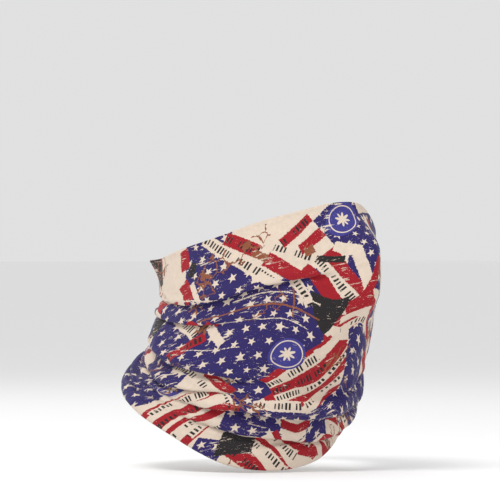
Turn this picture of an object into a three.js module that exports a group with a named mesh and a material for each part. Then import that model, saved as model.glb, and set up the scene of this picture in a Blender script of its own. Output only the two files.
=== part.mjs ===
// Neck gaiter: one seamless tube of thin stretch knit with cut edges, worn over the nose and bunched
// round the neck. The tube is modelled as the bands of cloth that lie between its folds, one mesh a band.
// Millimetres, +Z up. The nose points to -Y and the wearer's right is -X. The origin is on the neck's
// axis, level with the lowest point of the lower edge. Angles run round +Z from the front, 0, towards
// the wearer's left, 90.
import * as THREE from 'three';

// Overall sizes
const height = 186;       // lowest point of the lower edge to the peak on the bridge of the nose
const faceWidth = 130;    // inside the cloth, cheek to cheek
const neckWidth = 154;    // inside the cloth, where it rests on the collar
const faceFront = 82;     // from the middle of the face's outline forward to the upper lip
const faceBack = 81;      // and back to the nape
const neckFront = 76;
const neckBack = 79;
const faceShift = -20;    // the middle of the face's outline lies in front of the neck's axis
const neckShift = 12;     // and the middle of the neck's outline lies behind it
const noseReach = 26;     // how far the tip of the nose lifts the cloth
const bridgeReach = 5;    // how far the bridge lifts the top edge
const noseHalfWidth = 15; // where the lift has fallen to half, to each side of the nose
const chinReach = 8;      // how far the chin pushes the cloth out

// Cloth
const wall = 2.5;         // the few loose layers of cloth in a band, taken as one wall
const foldGap = 0.3;      // clear height between two bands, at the crease that parts them
const jawTaper = 0.1;     // how much narrower the front of the outline is than its back

// Fineness
const around = 72;

// The creases from top to bottom. heights are at eight angles, 45 degrees apart, starting at the nape
// (-180) and running over the wearer's right (-90), the nose (0) and the left (90). drape runs from 0,
// where the cloth follows the face, to 1, where it lies round the neck.
const drawnHeight = 186;
const creases = [
  { heights: [139, 145, 158, 177, 186, 162, 150, 143], drape: 0 },      // top cut edge
  { heights: [121, 119, 115, 132, 141, 130, 118, 117], drape: 0.03 },   // tuck across the cheek
  { heights: [111, 109, 103, 110, 113, 112, 106, 107], drape: 0.1 },    // roll over the jaw
  { heights: [103, 96, 77, 62, 70, 86, 96, 101], drape: 0.3 },          // fold behind the jaw
  { heights: [96, 90, 67, 54, 52, 72, 88, 94], drape: 0.5 },            // narrow roll under it
  { heights: [90, 80, 56, 45, 42, 60, 80, 88], drape: 0.7 },            // overhanging lip at the throat
  { heights: [84, 69, 43, 32, 33, 52, 73, 82], drape: 0.88 },           // fold over the bottom band
  { heights: [78, 58, 32, 4, 7, 39, 65, 77], drape: 1 },                // bottom cut edge
];

// The bands between the creases. bulge is how far the cloth stands out between them.
const bands = [
  { name: 'nose_and_cheek_panel', bulge: 0.5, colour: 0xb98f8c },
  { name: 'upper_cheek_roll', bulge: 3, colour: 0x57507f },
  { name: 'jaw_and_chin_drape', bulge: 4, colour: 0xb5616a },
  { name: 'behind_jaw_roll', bulge: 4.5, colour: 0x6b5f93 },
  { name: 'throat_overhang_fold', bulge: 5, colour: 0x4c4480 },
  { name: 'neck_gather_band', bulge: 4, colour: 0xd8c6b6 },
  { name: 'collar_rest_band', bulge: 3, colour: 0xb0343f },
];

const fullTurn = 2 * Math.PI;
const mix = (from, to, share) => from + (to - from) * share;
const bell = (distance, reach) => Math.exp(-((distance / reach) ** 2));

// A crease's height at an angle: a smooth closed curve through its eight heights.
function creaseHeight(crease, angle) {
  const count = crease.heights.length;
  const place = ((angle + Math.PI) / fullTurn) * count;
  const index = Math.floor(place);
  const share = place - index;
  const [before, from, to, after] = [-1, 0, 1, 2].map(
    (step) => crease.heights[(index + step + count) % count],
  );
  const curve = 2 * from + (to - before) * share
    + (2 * before - 5 * from + 4 * to - after) * share ** 2
    + (3 * from - before - 3 * to + after) * share ** 3;
  return (curve / 2) * (height / drawnHeight);
}

// A point of the cloth: angle round the tube, drape, height, and how far it stands out of the inner face.
function clothPoint(angle, drape, z, out) {
  const forward = Math.cos(angle);
  const halfWidth = mix(faceWidth, neckWidth, drape) / 2 + out;
  const depth = out + (forward > 0
    ? mix(faceFront, neckFront, drape)
    : mix(faceBack, neckBack, drape));
  const x = halfWidth * Math.sin(angle) * (1 - jawTaper * forward);
  const front = mix(faceShift, neckShift, drape) - depth * forward;
  const level = z * (drawnHeight / height);
  const ridge = noseReach * Math.exp(-(((level - 139) / 30) ** 4)) + bridgeReach * bell(level - 186, 30);
  const nose = ridge / (1 + Math.abs(x / noseHalfWidth) ** 1.8);
  const chin = chinReach * bell(level - 88, 26) * bell(x, 34);
  return new THREE.Vector3(x, front - (nose + chin) * Math.min(1, Math.max(0, forward) * 4), z);
}

// One band as a ring: a closed profile swept round, then each of its points laid onto the cloth. The
// profile's x is how far the point stands out, and its y runs from 0 at the lower crease to 1 at the upper.
function bandMesh(index) {
  const { name, bulge, colour } = bands[index];
  const upper = creases[index];
  const lower = creases[index + 1];
  const profile = [
    [0, 1], [0, 0.66], [0, 0.33], [0, 0],
    [wall + bulge * 0.5, 0], [wall + bulge * 0.95, 0.18], [wall + bulge, 0.42],
    [wall + bulge * 0.7, 0.7], [wall, 1], [0, 1],
  ].map(([out, rise]) => new THREE.Vector2(out, rise));
  const geometry = new THREE.LatheGeometry(profile, around);
  const places = geometry.attributes.position;
  for (let row = 0; row <= around; row += 1) {
    const angle = ((row % around) / around) * fullTurn - Math.PI;
    const high = creaseHeight(upper, angle) - foldGap / 2;
    const low = creaseHeight(lower, angle) + foldGap / 2;
    profile.forEach((point, column) => {
      const drape = mix(lower.drape, upper.drape, point.y);
      const spot = clothPoint(angle, drape, mix(low, high, point.y), point.x);
      places.setXYZ(row * profile.length + column, spot.x, spot.y, spot.z);
    });
  }
  geometry.deleteAttribute('uv');
  geometry.computeVertexNormals();
  const material = new THREE.MeshStandardMaterial({ color: colour, roughness: 0.9, metalness: 0 });
  const mesh = new THREE.Mesh(geometry, material);
  mesh.name = name;
  return mesh;
}

const gaiter = new THREE.Group();
gaiter.name = 'neck_gaiter';
bands.forEach((_, index) => gaiter.add(bandMesh(index)));

export default gaiter;
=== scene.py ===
"""Neck gaiter: one seamless printed stretch-knit tube, pulled up over the nose and bunched round the neck."""
import math

import bpy
import numpy as np
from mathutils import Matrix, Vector


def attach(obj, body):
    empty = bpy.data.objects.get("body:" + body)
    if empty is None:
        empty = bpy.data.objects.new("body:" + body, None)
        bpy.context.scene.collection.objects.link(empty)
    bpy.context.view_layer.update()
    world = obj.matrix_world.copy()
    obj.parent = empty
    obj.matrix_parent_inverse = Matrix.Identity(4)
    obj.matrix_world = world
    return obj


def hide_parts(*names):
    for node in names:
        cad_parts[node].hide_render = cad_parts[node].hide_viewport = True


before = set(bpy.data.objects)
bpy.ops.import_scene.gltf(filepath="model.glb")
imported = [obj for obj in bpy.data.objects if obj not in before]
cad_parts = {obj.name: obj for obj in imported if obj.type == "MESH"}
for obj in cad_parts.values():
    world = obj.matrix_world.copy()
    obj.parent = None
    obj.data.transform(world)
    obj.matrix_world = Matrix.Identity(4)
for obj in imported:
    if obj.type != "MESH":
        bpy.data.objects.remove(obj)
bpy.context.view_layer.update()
scene = bpy.context.scene
MM = 0.001

# ---------------------------------------------------------------- the body under the cloth, as in the CAD

FACE = {"width": 130 * MM, "front": 82 * MM, "back": 81 * MM, "shift": -20 * MM}
NECK = {"width": 154 * MM, "front": 76 * MM, "back": 79 * MM, "shift": 12 * MM}
NOSE_REACH = 28 * MM
BRIDGE_REACH = 5 * MM
CHIN_REACH = 8 * MM
JAW_TAPER = 0.1


def bell(distance, reach):
    """1 at no distance, falling smoothly to almost nothing at twice the reach."""
    return np.exp(-((distance / reach) ** 2))


def mix(a, b, share):
    return a + (b - a) * share


def body_point(angle, drape, z, out):
    """A point of the cloth, from its angle round the tube (0 at the nose), its height, how far down the drape
    it is (0 face, 1 neck) and how far it stands out."""
    forward = np.cos(angle)
    ahead = np.clip(forward, 0, None)
    half = mix(FACE["width"], NECK["width"], drape) / 2 + out
    front = mix(FACE["front"], NECK["front"], drape)
    back = mix(FACE["back"], NECK["back"], drape)
    depth = np.where(forward > 0, front, back) + out
    x = half * np.sin(angle) * (1 - JAW_TAPER * forward)
    y = mix(FACE["shift"], NECK["shift"], drape) - depth * forward
    ridge = NOSE_REACH * np.exp(-(((z - 139 * MM) / (30 * MM)) ** 4))
    ridge = ridge + BRIDGE_REACH * bell(z - 186 * MM, 30 * MM)
    nose = ridge / (1 + np.abs(x / (15 * MM)) ** 1.8)
    chin = CHIN_REACH * bell(z - 88 * MM, 26 * MM) * bell(x, 34 * MM)
    y = y - (nose + chin) * np.clip(ahead * 4, 0, 1)
    return np.stack([x, y, z], -1)


# ---------------------------------------------------------------- the folds

# Heights, stand-offs and tucks are in millimetres at eight angles 45 degrees apart, from the nape (-180)
# over the wearer's right (-90), the nose (0) and the left (90). stand is how far the lip of the fold stands
# out and tuck how far the cloth turns back up behind it, and neither goes below 0. A fold's tuck stays well
# under its distance to the fold above, so that the layers don't cross.
TOP_EDGE = [139, 145, 158, 177, 186, 162, 150, 143]
BOTTOM_EDGE = [78, 58, 32, 4, 7, 39, 65, 77]
FOLDS = [
    {"height": [121, 119, 115, 132, 141, 130, 118, 117], "drape": 0.03,
     "stand": [4, 1.5, 3.2, 3.6, -1, 1.5, 3, 4], "tuck": [6, 1, 7, 9, -5, 2, 5, 6]},
    {"height": [111, 109, 103, 110, 113, 112, 106, 107], "drape": 0.1,
     "stand": [5, 3.2, 2.8, 0.8, 0.3, 0.8, 3, 4], "tuck": [5, 4, 3, 0, 0, 0, 4, 5]},
    {"height": [103, 96, 77, 62, 70, 86, 96, 101], "drape": 0.3,
     "stand": [3.5, 5.5, 6, 1, 0.2, 1, 4, 3.5], "tuck": [2, 7, 13, 1, 0, 0, 4, 2]},
    {"height": [96, 90, 67, 54, 52, 72, 88, 94], "drape": 0.5,
     "stand": [3, 3.5, 4, 0.6, 0.3, 2, 3.5, 3], "tuck": [1.5, 2.5, 5.5, 0, 0, 3, 2, 1.5]},
    {"height": [90, 80, 56, 45, 42, 60, 80, 88], "drape": 0.7,
     "stand": [3, 2.5, 1.5, 7, 8.5, 6, 3.5, 3], "tuck": [1.5, 3, 1, 14, 18, 9, 2, 1.5]},
    {"height": [84, 69, 43, 32, 33, 52, 73, 82], "drape": 0.88,
     "stand": [3, 2, 0.8, 4.5, 6, 5, 3.5, 3], "tuck": [1.5, 2, 0, 7, 9, 6, 2, 1.5]},
]

# The cloth's grid: points round the tube, steps down it and the angle of each column.
AROUND = 120
ALONG = 102
ANGLES = np.arange(AROUND) / AROUND * 2 * math.pi - math.pi
# The cloth lifts off a little where it passes the ear.
EAR_ANGLE = -138
EAR_REACH = 9


def round_curve(keys, angle):
    """A smooth closed curve through eight values, read at the angles."""
    keys = np.asarray(keys, float) * MM
    place = (np.asarray(angle) + math.pi) / (2 * math.pi) * len(keys)
    index = np.floor(place).astype(int)
    share = place - index
    before, a, b, after = (keys[(index + step) % len(keys)] for step in (-1, 0, 1, 2))
    return 0.5 * (2 * a + (b - before) * share + (2 * before - 5 * a + 4 * b - after) * share ** 2
                  + (3 * a - before - 3 * b + after) * share ** 3)


def b_spline(points, count):
    """A cubic B-spline that starts and ends on its first and last control points."""
    points = np.concatenate([points[:1] * 2 - points[1:2], points, points[-1:] * 2 - points[-2:-1]])
    spans = len(points) - 3
    place = np.linspace(0, spans, count)
    index = np.minimum(place.astype(int), spans - 1)
    t = (place - index).reshape(-1, *([1] * (points.ndim - 1)))
    p0, p1, p2, p3 = (points[index + step] for step in range(4))
    return ((1 - t) ** 3 * p0 + (3 * t ** 3 - 6 * t ** 2 + 4) * p1
            + (-3 * t ** 3 + 3 * t ** 2 + 3 * t + 1) * p2 + t ** 3 * p3) / 6


def folded_profile(angle):
    """Control points of the cloth from top to bottom at each angle, as (drape, height, stand-off)."""
    def spot(drape, height, out):
        return np.stack([np.broadcast_to(v, angle.shape) for v in (drape, height, out)], -1)

    top = round_curve(TOP_EDGE, angle)
    flare = bell(np.degrees(angle) - EAR_ANGLE, EAR_REACH) * MM
    points = [spot(0, top + 1.5 * flare, 1.2 * MM + 8 * flare), spot(0, top - 5 * MM, 0.5 * MM + 4.5 * flare)]
    above, drape_above = top - 5 * MM, 0.0
    for fold in FOLDS:
        height = round_curve(fold["height"], angle)
        stand = np.clip(round_curve(fold["stand"], angle), 0, None)
        tuck = np.clip(round_curve(fold["tuck"], angle), 0, None)
        drape = fold["drape"]
        band = above - height
        # down the band and out over the lip, back under it, up behind it, and down again
        points += [
            spot(mix(drape_above, drape, 0.35), above - band * 0.35, stand * 0.6 + 0.4 * MM),
            spot(mix(drape_above, drape, 0.75), above - band * 0.72, stand * 1.0),
            spot(drape, height + band * 0.06, stand * 1.05),
            spot(drape, height - stand * 0.35, stand * 0.95),
            spot(drape, height - stand * 0.25, stand * 0.6),
            spot(drape, height + tuck * 0.5, stand * 0.42),
            spot(drape, height + tuck, stand * 0.36),
            spot(drape, height + tuck + stand * 0.3, stand * 0.2),
            spot(drape, height + tuck, stand * 0.02),
            spot(drape, height + tuck * 0.45, stand * 0.0),
        ]
        above, drape_above = height, drape
    low = round_curve(BOTTOM_EDGE, angle)
    band = above - low
    points += [
        spot(mix(drape_above, 1, 0.4), above - band * 0.35, 2.0 * MM),
        spot(mix(drape_above, 1, 0.8), above - band * 0.75, 2.8 * MM),
        spot(1, low + 1.5 * MM, 2.4 * MM),
        spot(1, low, 2.0 * MM),
    ]
    return np.stack(points)


def draped_tube():
    """The cloth's grid: points (ALONG + 1, AROUND, 3) and the length of cloth above each, at even steps."""
    fine = b_spline(folded_profile(ANGLES), 1200)
    path = body_point(ANGLES[None, :], fine[..., 0], fine[..., 1], fine[..., 2])
    step = np.linalg.norm(np.diff(path, axis=0), axis=-1)
    run = np.concatenate([np.zeros((1, AROUND)), np.cumsum(step, 0)])
    grid = np.zeros((ALONG + 1, AROUND, 3))
    length = np.zeros((ALONG + 1, AROUND))
    for i in range(AROUND):
        length[:, i] = np.linspace(0, run[-1, i], ALONG + 1)
        for axis in range(3):
            grid[:, i, axis] = np.interp(length[:, i], run[:, i], path[:, i, axis])
    return grid, length


def tube_mesh(name, grid):
    """A tube of one layer of quads, for the simulation."""
    rows = len(grid)
    ring = np.arange(AROUND)
    after = (ring + 1) % AROUND
    strip = np.stack([ring, ring + AROUND, after + AROUND, after], -1)
    faces = np.concatenate([strip + j * AROUND for j in range(rows - 1)])
    mesh = bpy.data.meshes.new(name)
    mesh.from_pydata(grid.reshape(-1, 3).tolist(), [], faces.tolist())
    piece = bpy.data.objects.new(name, mesh)
    scene.collection.objects.link(piece)
    return piece


# ---------------------------------------------------------------- the cloth settles

FRAMES = 20
# The share of its own length that the cloth has at four places down the tube, so that it buckles a little.
SLACK = {"place": [0, 0.35, 0.5, 1], "share": [1, 1, 1.06, 1.08]}
# How firmly each place down the tube is held: the top edge, the face, the folds and the bottom edge.
HOLD = {"place": [0, 0.02, 0.06, 0.3, 0.45, 0.9, 0.97, 1], "weight": [1, 0.8, 0.25, 0.25, 0.1, 0.1, 0.5, 0.5]}
STIFFNESS = 15
BENDING = 0.05
GRAVITY_SHARE = 0.4
CLEARANCE = 1 * MM
FORM_DEPTH = 2.5 * MM
SMOOTH_OVER = 13
UNEVENNESS = 0.8 * MM


def noise(shape, cells, seed):
    """Smooth random values from -1 to 1, with cells (along, around) to the tube. It joins up round."""
    rng = np.random.default_rng(seed)
    rough = rng.uniform(-1, 1, (cells[0] + 3, cells[1]))
    along = np.linspace(0, cells[0], shape[0])
    turn = np.arange(shape[1]) / shape[1] * cells[1]
    j = np.minimum(along.astype(int), cells[0] - 1)
    i = turn.astype(int)
    a = (along - j)[:, None]
    b = (turn - i)[None, :]
    a = a * a * (3 - 2 * a)
    b = b * b * (3 - 2 * b)

    def row(dj):
        left = rough[(j + dj)[:, None], i[None, :]]
        right = rough[(j + dj)[:, None], (i[None, :] + 1) % cells[1]]
        return mix(left, right, b)

    return mix(row(0), row(1), a)


def hidden_form():
    """A plain head and neck for the cloth to rest on, FORM_DEPTH inside it."""
    heights = (np.linspace(-20, 200, 80) * MM)[::-1, None] + np.zeros(AROUND)
    drape = np.interp(heights, [20 * MM, 100 * MM], [1, 0])
    form = tube_mesh("form", body_point(ANGLES[None, :], drape, heights, -FORM_DEPTH))
    form.modifiers.new("hit", "COLLISION")
    form.collision.thickness_outer = CLEARANCE
    form.collision.cloth_friction = 10
    return form


def unfolded(grid, length):
    """The cloth as a plain tube with its slack, which is what the simulation measures stretch from."""
    rows = len(grid)
    slack = np.interp(np.linspace(0, 1, rows), SLACK["place"], SLACK["share"])
    radius = np.linalg.norm(grid - np.roll(grid, 1, 1), axis=-1).sum(1) / (2 * math.pi)
    weights = np.ones(SMOOTH_OVER) / SMOOTH_OVER
    radius = np.convolve(np.pad(radius, SMOOTH_OVER // 2, mode="edge"), weights, "valid")
    steps = np.diff(length, axis=0) * slack[1:, None]
    down = np.concatenate([np.zeros((1, AROUND)), np.cumsum(steps, 0)])
    return np.stack([radius[:, None] * np.sin(ANGLES), -radius[:, None] * np.cos(ANGLES), -down], -1)


def settle(piece, grid, length):
    """Lets the cloth find its own wrinkles: it hangs round a hidden form, held in place by weak pins."""
    rows = len(grid)
    form = hidden_form()
    piece.shape_key_add(name="Basis")
    rest = piece.shape_key_add(name="rest")
    rest.data.foreach_set("co", unfolded(grid, length).reshape(-1).astype(np.float32))
    pins = piece.vertex_groups.new(name="pins")
    hold = np.interp(np.linspace(0, 1, rows), HOLD["place"], HOLD["weight"])
    for j in range(rows):
        pins.add(list(range(j * AROUND, (j + 1) * AROUND)), float(hold[j]), "REPLACE")
    cloth = piece.modifiers.new("drape", "CLOTH")
    cloth.point_cache.frame_start = 1
    cloth.point_cache.frame_end = FRAMES
    knit = cloth.settings
    knit.quality = 5
    knit.mass = 0.2
    knit.tension_stiffness = STIFFNESS
    knit.compression_stiffness = STIFFNESS
    knit.shear_stiffness = STIFFNESS / 3
    knit.bending_stiffness = BENDING
    knit.tension_damping = 5
    knit.compression_damping = 5
    knit.shear_damping = 5
    knit.bending_damping = 0.5
    knit.air_damping = 3
    knit.vertex_group_mass = "pins"
    knit.pin_stiffness = 1
    knit.effector_weights.gravity = GRAVITY_SHARE
    knit.rest_shape_key = rest
    hit = cloth.collision_settings
    hit.collision_quality = 2
    hit.distance_min = CLEARANCE
    hit.use_self_collision = True
    hit.self_distance_min = CLEARANCE
    hit.self_friction = 5
    for number in range(1, FRAMES + 1):
        scene.frame_set(number)
    shape = piece.evaluated_get(bpy.context.evaluated_depsgraph_get()).to_mesh()
    settled = np.zeros(len(shape.vertices) * 3, np.float32)
    shape.vertices.foreach_get("co", settled)
    piece.modifiers.remove(cloth)
    piece.shape_key_clear()
    piece.data.vertices.foreach_set("co", settled)
    piece.data.update()
    bpy.data.objects.remove(form)
    scene.frame_set(1)
    return settled.reshape(grid.shape)


grid, length = draped_tube()
# A slight unevenness gives the wrinkles places to start.
outward = np.stack([np.sin(ANGLES), -np.cos(ANGLES), np.zeros(AROUND)], -1)
grid = grid + (noise(grid.shape, (14, 10), seed=3) * UNEVENNESS)[..., None] * outward
cloth = tube_mesh("cloth", grid)
grid = settle(cloth, grid, length)
bpy.data.objects.remove(cloth)


# ---------------------------------------------------------------- the cloth gets its thickness

CLOTH_THICKNESS = 0.7 * MM
GIRTH = 490 * MM
# On the baking map the outer face is the upper half, the inner the lower, and the rims a strip below them.
OUTER_TOP = 0.995
INNER_TOP = 0.49
FACE_SPAN = 0.47
RIM_LOW = 0.006
RIM_SPAN = 0.004
SIDE_MARGIN = 0.002


def refined(values):
    """The grid at twice its fineness each way, smoothed as a cubic B-spline. It joins up round."""
    def finer(v, closed):
        if closed:
            padded = np.concatenate([v[-1:], v, v[:2]])
        else:
            step = v[-1:] - v[-2:-1]
            padded = np.concatenate([2 * v[:1] - v[1:2], v, v[-1:] + step, v[-1:] + 2 * step])
        before, after, last = padded[:-3], padded[2:-1], padded[3:]
        even = (before + 4 * v + after) / 6
        odd = (before + 23 * v + 23 * after + last) / 48
        both = np.stack([even, odd], 1).reshape(-1, *v.shape[1:])
        return both if closed else both[:-1]

    return finer(finer(values, False).swapaxes(0, 1), True).swapaxes(0, 1)


def surface_normals(points):
    around = np.roll(points, -1, 1) - np.roll(points, 1, 1)
    down = np.gradient(points, axis=0)
    normal = np.cross(down, around)
    return normal / np.linalg.norm(normal, axis=-1, keepdims=True)


def thick_tube(name, grid, length):
    """The cloth as a closed shell of its real thickness, with a map of the cut cloth and a map for baking."""
    points = refined(grid)
    run = refined(length[..., None])[..., 0]
    run -= run[:1]
    rows, around = points.shape[:2]
    offset = surface_normals(points) * (CLOTH_THICKNESS / 2)
    layer = rows * around
    vertices = np.concatenate([(points + offset).reshape(-1, 3), (points - offset).reshape(-1, 3)])
    j, i = np.meshgrid(np.arange(rows - 1), np.arange(around), indexing="ij")
    outer = np.stack([j * around + i, (j + 1) * around + i,
                      (j + 1) * around + (i + 1) % around, j * around + (i + 1) % around], -1).reshape(-1, 4)
    inner = outer[:, ::-1] + layer
    ring = np.arange(around)
    after = (ring + 1) % around
    low = (rows - 1) * around
    top_rim = np.stack([ring, after, after + layer, ring + layer], -1)
    low_rim = np.stack([ring + low, ring + low + layer, after + low + layer, after + low], -1)
    faces = np.concatenate([outer, inner, top_rim, low_rim])
    mesh = bpy.data.meshes.new(name)
    mesh.from_pydata(vertices.tolist(), [], faces.tolist())
    side = np.repeat([0, 1, 1, 1], [len(outer), len(inner), around, around])
    mesh.polygons.foreach_set("material_index", side)
    mesh.polygons.foreach_set("use_smooth", np.ones(len(faces), bool))
    column = faces % layer % around
    row = faces % layer // around
    wraps = (column.max(1) - column.min(1) > around / 2)[:, None] & (column < around / 2)
    turn = np.where(wraps, column + around, column) / around
    cut = np.stack([turn * GIRTH, -run[row, column]], -1)
    strip = np.where((side == 0)[:, None], OUTER_TOP, INNER_TOP) - FACE_SPAN * row / (rows - 1)
    on_rim = np.arange(len(faces)) >= len(outer) + len(inner)
    strip = np.where(on_rim[:, None], (faces >= layer) * RIM_SPAN + RIM_LOW, strip)
    bake = np.stack([SIDE_MARGIN + (1 - 2 * SIDE_MARGIN) * turn, strip], -1)
    for label, places in (("Cloth", cut), ("OFBake", bake)):
        layer = mesh.uv_layers.new(name=label)
        layer.data.foreach_set("uv", places.reshape(-1).astype(np.float32))
    mesh.update()
    piece = bpy.data.objects.new(name, mesh)
    scene.collection.objects.link(piece)
    return piece


gaiter = thick_tube("knit_tube", grid, length)


# ---------------------------------------------------------------- the print and the knit

def srgb(red, green, blue):
    """A linear colour, with alpha, from the usual 0 to 255 values."""
    def line(value):
        value /= 255
        return value / 12.92 if value <= 0.04045 else ((value + 0.055) / 1.055) ** 2.4

    return (line(red), line(green), line(blue), 1)


CREAM = srgb(212, 195, 178)
NAVY = srgb(43, 34, 92)
RED = srgb(152, 22, 34)
CHARCOAL = srgb(38, 34, 36)
BROWN = srgb(134, 78, 52)
BADGE_BLUE = srgb(60, 56, 128)
INSIDE = srgb(214, 208, 202)

# All sizes of the print and the knit are in millimetres on the flat cloth.
STAR_PITCH_X = 11.6
STAR_PITCH_Y = 10.2
STAR_RADIUS = 3.6
STAR_NOTCH = 0.42
STRIPE_PITCH = 7.6
MARK_PITCH = 2.7
RING_RADIUS = 11.4
PETALS = 8
WALE_HALF = 0.35
COURSE_HALF = 0.3

# The print: how far round from the nape, how far down from the top edge, half width, half height, and tilt in
# degrees. Later shapes lie over earlier ones, and the whole layout repeats every REPEAT round.
REPEAT = 245
START = 15
KINDS = ["cream", "stars", "stripes", "banner", "shield", "badge", "red", "black", "small stars",
         "red banner", "brown"]
PRINT = [
    ("stripes", 40, 60, 40, 70, -35), ("stars", 275, 40, 34, 40, 20), ("stripes", 268, 160, 30, 60, 35),
    ("stars", 30, 190, 40, 50, -20), ("stars", 150, 92, 68, 50, 0), ("stripes", 60, 240, 60, 34, -30),
    # over the cheek
    ("cream", 97, 16, 22, 20, -6), ("stars", 138, 28, 26, 28, 0), ("red", 110, 9, 4, 7, 10),
    ("black", 118, 18, 3, 5, -15), ("red", 114, 33, 4.6, 9, 30), ("cream", 122, 36, 2, 9, 26),
    ("black", 68, 9, 8, 12, 14), ("cream", 178, 12, 31, 22, -28), ("banner", 155, 23, 36, 4.3, -42),
    ("red banner", 156, 12, 15, 4, -36), ("banner", 194, 29, 18, 4.2, -27), ("red", 184, 37, 15, 4.6, -40),
    ("cream", 178, 45, 14, 2.6, -38), ("red banner", 194, 13, 13, 3.5, 30), ("red", 205, 22, 11, 3.8, 26),
    ("brown", 202, 29, 3.4, 3, 20), ("brown", 169, 24, 6, 2.4, -40),
    # over the nose and upper lip
    ("stars", 230, 12, 18, 14, 32), ("small stars", 241, 38, 13, 28, -8), ("red", 210, 58, 22, 7, -48),
    ("red", 226, 53, 24, 5, -63), ("cream", 236, 51, 14, 3.3, -76), ("cream", 227, 34, 9, 3.3, -32),
    ("banner", 219, 53, 22, 4, -55), ("banner", 194, 66, 15, 4, -50), ("red", 243, 58, 14, 3, 68),
    ("cream", 256, 34, 3, 28, -4), ("red", 261, 36, 2.2, 30, -4), ("badge", 230, 12, 15, 11, 32),
    ("red", 237, 77, 8, 9, 20), ("cream", 237, 84, 9, 3, 8), ("banner", 240, 93, 10, 3.4, 6),
    ("shield", 217, 80, 12.5, 12.5, 4), ("black", 217, 38, 9, 2.2, -14),
    # over the jaw
    ("banner", 112, 79, 18, 4.2, -43), ("red", 122, 76, 9, 2.6, -42), ("black", 129, 84, 3.6, 6, -8),
    ("cream", 141, 96, 10, 2.6, -52), ("red", 136, 83, 7, 2, -52), ("black", 78, 66, 8, 9, 10),
    ("red banner", 121, 99, 13, 4, 26), ("red", 211, 131, 35, 19, 45), ("banner", 199, 128, 30, 3.9, 48),
    ("banner", 219, 134, 31, 3.9, 41), ("banner", 233, 142, 17, 3.6, 34),
    ("red banner", 208, 132, 24, 3.2, 45),
    ("cream", 222, 102, 11, 3.6, 40), ("stars", 260, 130, 17, 36, 10), ("badge", 193, 115, 14, 11, 32),
    ("cream", 117, 40, 24, 0.5, -15), ("cream", 179, 72, 31, 0.5, -5), ("brown", 168, 79, 44, 0.6, -7),
    ("brown", 192, 79, 0.6, 10, 4), ("cream", 172, 90, 34, 0.35, -6), ("cream", 140, 106, 20, 0.3, -12),
    # along the throat
    ("stars", 212, 172, 54, 15, 4), ("stars", 172, 150, 14, 12, -40), ("cream", 134, 148, 18, 9, -32),
    ("red", 126, 145, 6, 5, 20), ("red", 152, 151, 14, 3.6, -26), ("banner", 141, 154, 32, 4.6, -34),
    ("red banner", 159, 175, 17, 3.8, 8), ("banner", 199, 158, 18, 4, 18),
    # round the collar
    ("stars", 90, 168, 34, 27, -8), ("stripes", 142, 210, 44, 34, 47), ("banner", 132, 189, 25, 3.6, 52),
    ("banner", 161, 221, 18, 3.6, 47), ("banner", 147, 224, 13, 3.6, 42),
    ("red banner", 141, 205, 22, 3.4, 47),
    ("badge", 120, 176, 12, 10, 22), ("stars", 188, 206, 22, 10, 4), ("stripes", 214, 250, 38, 24, -46),
    ("stripes", 256, 226, 24, 30, 40), ("red", 219, 201, 12, 3.4, -4), ("cream", 219, 207, 12, 2.2, -4),
    ("stars", 238, 212, 9, 8, 10), ("banner", 205, 257, 18, 3.8, -36), ("red banner", 190, 262, 18, 4, -40),
    ("banner", 216, 249, 15, 3.6, -46), ("stars", 162, 250, 11, 10, -20), ("black", 181, 246, 12, 9, -6),
    ("banner", 250, 252, 16, 3.8, 30), ("black", 262, 178, 7, 5, 30),
    # beside them, where the layout joins up
    ("banner", 274, 70, 20, 4.2, 50), ("red", 288, 24, 16, 4.6, -40), ("badge", 292, 92, 13, 11, -20),
    ("shield", 286, 150, 12, 12, 10), ("banner", 278, 190, 18, 4.2, -30), ("stars", 48, 126, 20, 18, -30),
    ("banner", 50, 40, 22, 4.2, 35), ("badge", 46, 208, 12, 10, 15), ("red banner", 58, 96, 20, 4, 30),
]


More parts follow.
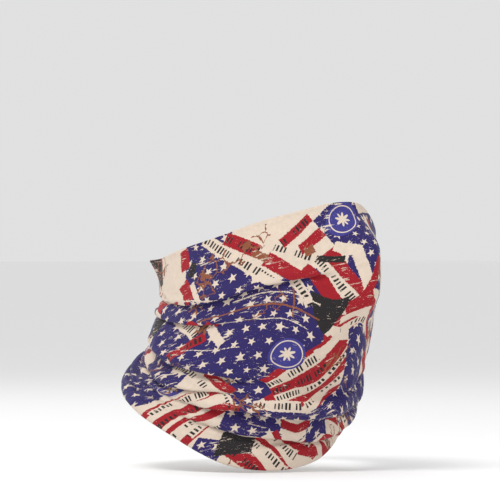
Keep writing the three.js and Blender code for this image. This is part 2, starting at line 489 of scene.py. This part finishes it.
class Nodes:
    """Short ways to add shader nodes to one tree. Values may be numbers, tuples or other nodes' sockets."""

    def __init__(self, tree):
        self.tree = tree

    def add(self, kind, inputs=(), **settings):
        node = self.tree.nodes.new(kind)
        for name, value in settings.items():
            setattr(node, name, value)
        for name, value in dict(inputs).items():
            if isinstance(value, bpy.types.NodeSocket):
                self.tree.links.new(value, node.inputs[name])
            else:
                node.inputs[name].default_value = value
        return node

    def math(self, operation, *values):
        return self.add("ShaderNodeMath", enumerate(values), operation=operation).outputs[0]

    def vector(self, operation, *values):
        node = self.add("ShaderNodeVectorMath", enumerate(values), operation=operation)
        return node.outputs["Value" if operation in ("LENGTH", "DOT_PRODUCT") else "Vector"]

    def mix(self, share, a, b):
        inputs = {"Factor": share, 6: a, 7: b}
        return self.add("ShaderNodeMix", inputs, data_type="RGBA").outputs[2]

    def mix_vector(self, share, a, b):
        inputs = {"Factor": share, 4: a, 5: b}
        return self.add("ShaderNodeMix", inputs, data_type="VECTOR").outputs[1]

    def noise(self, place, scale, detail=2.0, roughness=0.5):
        inputs = {"Vector": place, "Scale": scale, "Detail": detail, "Roughness": roughness}
        return self.add("ShaderNodeTexNoise", inputs, noise_dimensions="3D").outputs["Fac"]

    def parts(self, vector):
        return self.add("ShaderNodeSeparateXYZ", {0: vector}).outputs[:2]

    def point(self, x, y, z=0.0):
        return self.add("ShaderNodeCombineXYZ", {0: x, 1: y, 2: z}).outputs[0]

    def flat_cloth(self):
        """The place on the flat cloth, in millimetres."""
        metres = self.add("ShaderNodeUVMap", uv_map="Cloth").outputs[0]
        return self.vector("MULTIPLY", metres, (1000, 1000, 0))

    def swirl(self, place, scale, detail, far):
        """The place, moved up to half of far in a random direction that changes smoothly."""
        inputs = {"Vector": place, "Scale": scale, "Detail": detail}
        free = self.add("ShaderNodeTexNoise", inputs).outputs["Color"]
        moved = self.vector("MULTIPLY", self.vector("SUBTRACT", free, (0.5, 0.5, 0.5)), (far, far, 0))
        return self.vector("ADD", place, moved)


def shape_mask(n, kind, x, y, half_width, half_height, ragged):
    """1 inside the shape's outline, whose edge wanders a little."""
    if kind == "badge":
        oval = n.point(n.math("DIVIDE", x, half_width), n.math("DIVIDE", y, half_height))
        return n.math("LESS_THAN", n.vector("LENGTH", oval), n.math("MULTIPLY_ADD", ragged, 0.03, 1.0))
    width = half_width
    if kind == "shield":
        drop = n.math("MAXIMUM", n.math("MULTIPLY_ADD", y, -0.5 / half_height, 0.5), 0.0)
        width = n.math("MULTIPLY_ADD", n.math("POWER", drop, 2.6), -half_width, half_width)
    beside = n.math("SUBTRACT", n.math("ABSOLUTE", x), width)
    beyond = n.math("SUBTRACT", n.math("ABSOLUTE", y), half_height)
    return n.math("LESS_THAN", n.math("MAXIMUM", beside, beyond), ragged)


def star_mask(n, x, y, radius, turn):
    """1 inside a five-pointed star round the origin."""
    fifth = 2 * math.pi / 5
    slant = STAR_NOTCH * math.sin(fifth / 2)
    run = 1 - STAR_NOTCH * math.cos(fifth / 2)
    angle = n.math("PINGPONG", n.math("ADD", n.math("ARCTAN2", y, x), turn), fifth / 2)
    reach = n.vector("LENGTH", n.point(x, y))
    along = n.math("MULTIPLY", reach, n.math("COSINE", angle))
    across = n.math("MULTIPLY", reach, n.math("SINE", angle))
    edge = n.math("MULTIPLY_ADD", along, slant, n.math("MULTIPLY", across, run))
    return n.math("LESS_THAN", edge, n.math("MULTIPLY", radius, slant))


def star_field(n, x, y, ragged):
    """Rows of stars, each a little different in size and turn."""
    rows = n.math("DIVIDE", y, STAR_PITCH_Y)
    row = n.math("FLOOR", rows)
    stagger = n.math("MULTIPLY", n.math("MODULO", row, 2.0), 0.5)
    shifted = n.math("ADD", n.math("DIVIDE", x, STAR_PITCH_X), stagger)
    column = n.math("FLOOR", shifted)
    cell = {"Vector": n.point(column, row)}
    chance = n.add("ShaderNodeTexWhiteNoise", cell, noise_dimensions="2D").outputs[0]
    dx = n.math("MULTIPLY", n.math("SUBTRACT", n.math("FRACT", shifted), 0.5), STAR_PITCH_X)
    dy = n.math("MULTIPLY", n.math("SUBTRACT", n.math("FRACT", rows), 0.5), STAR_PITCH_Y)
    size = n.math("MULTIPLY_ADD", chance, 1.2, STAR_RADIUS - 0.8)
    turn = n.math("MULTIPLY_ADD", chance, 1.4, 1.1)
    return star_mask(n, dx, dy, n.math("MULTIPLY_ADD", ragged, 0.5, size), turn)


def tally_marks(n, x, y):
    """A worn row of plain upright marks, where a banner would carry words."""
    cell = n.math("DIVIDE", x, MARK_PITCH)
    chance = n.add("ShaderNodeTexWhiteNoise", {"W": n.math("FLOOR", cell)}, noise_dimensions="1D").outputs[0]
    inside = n.math("LESS_THAN", n.math("FRACT", cell), n.math("MULTIPLY_ADD", chance, 0.3, 0.34))
    tall = n.math("LESS_THAN", n.math("ABSOLUTE", y), n.math("MULTIPLY_ADD", chance, 0.8, 1.7))
    present = n.math("GREATER_THAN", chance, 0.12)
    return n.math("MULTIPLY", inside, n.math("MULTIPLY", tall, present))


def print_group():
    """The allover print as a node group: its colour at each point of the flat cloth."""
    tree = bpy.data.node_groups.new("allover_print", "ShaderNodeTree")
    tree.interface.new_socket("Color", in_out="OUTPUT", socket_type="NodeSocketColor")
    n = Nodes(tree)
    flat = n.flat_cloth()
    soft = n.noise(flat, 0.05, 2.0)
    fine = n.noise(flat, 0.7, 3.0, 0.65)
    ragged = n.math("MULTIPLY_ADD", fine, 2.4, -1.2)
    bent = n.swirl(flat, 0.04, 1.0, 3)
    x, y = n.parts(bent)
    into = n.math("FLOORED_MODULO", n.math("SUBTRACT", x, float(START)), float(REPEAT))
    place = n.point(n.math("ADD", into, float(START)), y)

    # the topmost shape at each place, as the place's own x and y in the shape and the number of its kind
    found = n.point(0.0, 0.0, 0.0)
    for kind, around, down, half_width, half_height, tilt in PRINT:
        reach = math.hypot(half_width, half_height)
        copies = [around]
        if around + reach > START + REPEAT:
            copies.append(around - REPEAT)
        if around - reach < START:
            copies.append(around + REPEAT)
        for centre in copies:
            away = n.vector("SUBTRACT", place, (centre, -down, 0))
            cosine = math.cos(math.radians(tilt))
            sine = math.sin(math.radians(tilt))
            local_x = n.vector("DOT_PRODUCT", away, (cosine, sine, 0))
            local_y = n.vector("DOT_PRODUCT", away, (-sine, cosine, 0))
            inside = shape_mask(n, kind, local_x, local_y, half_width, half_height, ragged)
            local = n.point(local_x, local_y, float(KINDS.index(kind)))
            found = n.mix_vector(inside, found, local)

    local_x, local_y = n.parts(found)
    code = n.add("ShaderNodeSeparateXYZ", {0: found}).outputs[2]

    def only(kind):
        return n.math("COMPARE", code, float(KINDS.index(kind)), 0.5)

    closer = n.math("MULTIPLY_ADD", only("small stars"), 0.32, 1.0)
    stars = star_field(n, n.math("MULTIPLY", local_x, closer), n.math("MULTIPLY", local_y, closer), ragged)
    uneven = n.math("MULTIPLY_ADD", ragged, 0.6, local_y)
    stripe = n.math("GREATER_THAN", n.math("PINGPONG", uneven, STRIPE_PITCH), STRIPE_PITCH / 2)
    reach = n.vector("LENGTH", n.point(local_x, n.math("MULTIPLY", local_y, 1.22)))
    ring = n.math("COMPARE", reach, RING_RADIUS, 0.45)
    petals = n.math("COSINE", n.math("MULTIPLY", n.math("ARCTAN2", local_y, local_x), float(PETALS)))
    seal = n.math("MAXIMUM", ring, n.math("LESS_THAN", reach, n.math("MULTIPLY_ADD", petals, 1.7, 4.6)))
    marks = tally_marks(n, local_x, local_y)

    colour = n.mix(n.math("MAXIMUM", only("stars"), only("small stars")), CREAM, n.mix(stars, NAVY, CREAM))
    colour = n.mix(only("stripes"), colour, n.mix(stripe, CREAM, RED))
    colour = n.mix(only("banner"), colour, n.mix(marks, CREAM, CHARCOAL))
    colour = n.mix(only("red banner"), colour, n.mix(marks, RED, CHARCOAL))
    colour = n.mix(n.math("MAXIMUM", only("shield"), only("black")), colour, CHARCOAL)
    colour = n.mix(only("red"), colour, RED)
    colour = n.mix(only("brown"), colour, BROWN)
    colour = n.mix(only("badge"), colour, n.mix(seal, BADGE_BLUE, CREAM))

    # brown branching lines over parts of the print
    cells = {"Vector": n.swirl(flat, 0.18, 2.0, 7), "Scale": 0.11, "Randomness": 1.0}
    roads = n.add("ShaderNodeTexVoronoi", cells, feature="DISTANCE_TO_EDGE").outputs["Distance"]
    near = n.vector("MULTIPLY", n.vector("SUBTRACT", place, (160, -16, 0)), (1 / 36, 1 / 22, 0))
    patch = n.math("MULTIPLY_ADD", n.vector("LENGTH", near), -0.5, 0.62)
    where = n.math("GREATER_THAN", n.math("MAXIMUM", patch, n.noise(flat, 0.021, 1.0)), 0.63)
    thin = n.math("LESS_THAN", roads, n.math("MULTIPLY_ADD", fine, 0.11, -0.012))
    colour = n.mix(n.math("MULTIPLY", thin, where), colour, BROWN)

    # scratches and specks where the ink has cracked, smudges, and a slight unevenness of tone
    crack = n.noise(n.vector("MULTIPLY", bent, (0.09, 0.5, 0)), 1.0, 5.0, 0.72)
    worn = n.math("GREATER_THAN", crack, n.math("MULTIPLY_ADD", soft, -0.34, 0.8))
    speck = n.math("GREATER_THAN", n.noise(flat, 1.1, 2.0, 0.6), n.math("MULTIPLY_ADD", soft, -0.16, 0.78))
    colour = n.mix(n.math("MAXIMUM", worn, speck), colour, CREAM)
    smudge = n.math("GREATER_THAN", n.noise(bent, 0.32, 4.0, 0.75), n.math("MULTIPLY_ADD", soft, 0.3, 0.6))
    colour = n.mix(n.math("MULTIPLY", smudge, 0.35), colour, CHARCOAL)
    shade = n.math("MULTIPLY_ADD", n.noise(flat, 0.3, 4.0, 0.6), 0.24, 0.88)
    colour = n.vector("MULTIPLY", colour, n.point(shade, shade, shade))
    end = n.add("NodeGroupOutput")
    tree.links.new(colour, end.inputs[0])
    return tree


def knit_material(name, show_through, printed):
    """Matt jersey. show_through is how much of the print is seen: 1 on its face, a little on its back."""
    material = bpy.data.materials.new(name)
    material.use_nodes = True
    tree = material.node_tree
    n = Nodes(tree)
    shader = tree.nodes["Principled BSDF"]
    ink = n.add("ShaderNodeGroup", node_tree=printed).outputs[0]
    colour = ink if show_through == 1 else n.mix(show_through, INSIDE, ink)
    tree.links.new(colour, shader.inputs["Base Color"])
    flat = n.flat_cloth()
    x, y = n.parts(flat)
    lean = n.math("MULTIPLY", n.math("PINGPONG", y, WALE_HALF), 0.6)
    wale = n.math("PINGPONG", n.math("ADD", x, lean), WALE_HALF)
    course = n.math("PINGPONG", y, COURSE_HALF)
    stitch = n.math("MULTIPLY", n.math("MULTIPLY_ADD", course, 0.6, wale), 0.16)
    pile = n.noise(flat, 1.4, 3.0, 0.7)
    ripple = n.noise(n.vector("MULTIPLY", flat, (0.05, 0.11, 0)), 1.0, 3.0, 0.6)
    height = n.math("MULTIPLY_ADD", pile, 0.12, n.math("MULTIPLY_ADD", ripple, 2.2, stitch))
    bump = n.add("ShaderNodeBump", {"Height": height, "Strength": 0.6, "Distance": MM})
    tree.links.new(bump.outputs[0], shader.inputs["Normal"])
    rough = n.math("MULTIPLY_ADD", n.noise(flat, 0.2, 3.0), 0.12, 0.76)
    tree.links.new(rough, shader.inputs["Roughness"])
    shader.inputs["Specular IOR Level"].default_value = 0.25
    shader.inputs["Sheen Weight"].default_value = 0.12
    shader.inputs["Sheen Roughness"].default_value = 0.45
    return material


printed = print_group()
gaiter.data.materials.append(knit_material("printed_knit", 1, printed))
gaiter.data.materials.append(knit_material("knit_inside", 0.14, printed))
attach(gaiter, "root")
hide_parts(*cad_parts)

# ---------------------------------------------------------------- camera, floor and light

CAMERA_TURN = math.radians(-42)
CAMERA_RISE = 0.0
CAMERA_DISTANCE = 3.0
VIEW_WIDTH = 352 * MM
AIM = Vector((0, 0, 153.5 * MM))
SENSOR_WIDTH = 36
FLOOR_REACH = 40.0


def look_from(turn, rise, distance, aim):
    """The place at that turn, rise and distance from the aim, and the rotation that looks back at it."""
    back = Vector((math.sin(turn) * math.cos(rise), -math.cos(turn) * math.cos(rise), math.sin(rise)))
    return aim + back * distance, back.to_track_quat("Z", "Y")


camera = bpy.data.objects.new("camera", bpy.data.cameras.new("camera"))
scene.collection.objects.link(camera)
camera.data.sensor_width = SENSOR_WIDTH
camera.data.lens = SENSOR_WIDTH * CAMERA_DISTANCE / VIEW_WIDTH
camera.location, turned = look_from(CAMERA_TURN, CAMERA_RISE, CAMERA_DISTANCE, AIM)
camera.rotation_mode = "QUATERNION"
camera.rotation_quaternion = turned
camera.data.clip_end = 100
scene.camera = camera


def softbox(name, turn, rise, distance, size, power):
    lamp = bpy.data.lights.new(name, "AREA")
    lamp.size = size
    lamp.energy = power
    box = bpy.data.objects.new(name, lamp)
    scene.collection.objects.link(box)
    box.location, facing = look_from(math.radians(turn), math.radians(rise), distance, AIM)
    box.rotation_mode = "QUATERNION"
    box.rotation_quaternion = facing
    return box


softbox("key", -70, 50, 1.6, 0.6, 13)
softbox("fill", 20, 25, 1.8, 1.2, 2)
softbox("rim", 160, 40, 1.8, 0.8, 4)

floor_mesh = bpy.data.meshes.new("floor")
corners = [(FLOOR_REACH * x, FLOOR_REACH * y, 0) for x, y in ((-1, -1), (1, -1), (1, 1), (-1, 1))]
floor_mesh.from_pydata(corners, [], [(0, 1, 2, 3)])
floor = bpy.data.objects.new("floor", floor_mesh)
scene.collection.objects.link(floor)
pale = bpy.data.materials.new("pale_floor")
pale.use_nodes = True
pale_shader = pale.node_tree.nodes["Principled BSDF"]
pale_shader.inputs["Base Color"].default_value = (0.95, 0.95, 0.95, 1)
pale_shader.inputs["Roughness"].default_value = 0.8
floor_mesh.materials.append(pale)

world = bpy.data.worlds.new("studio")
scene.world = world
world.use_nodes = True
sky = world.node_tree.nodes["Background"]
sky.inputs["Color"].default_value = (1, 1, 1, 1)
sky.inputs["Strength"].default_value = 0.75
scene.view_settings.view_transform = "Standard"
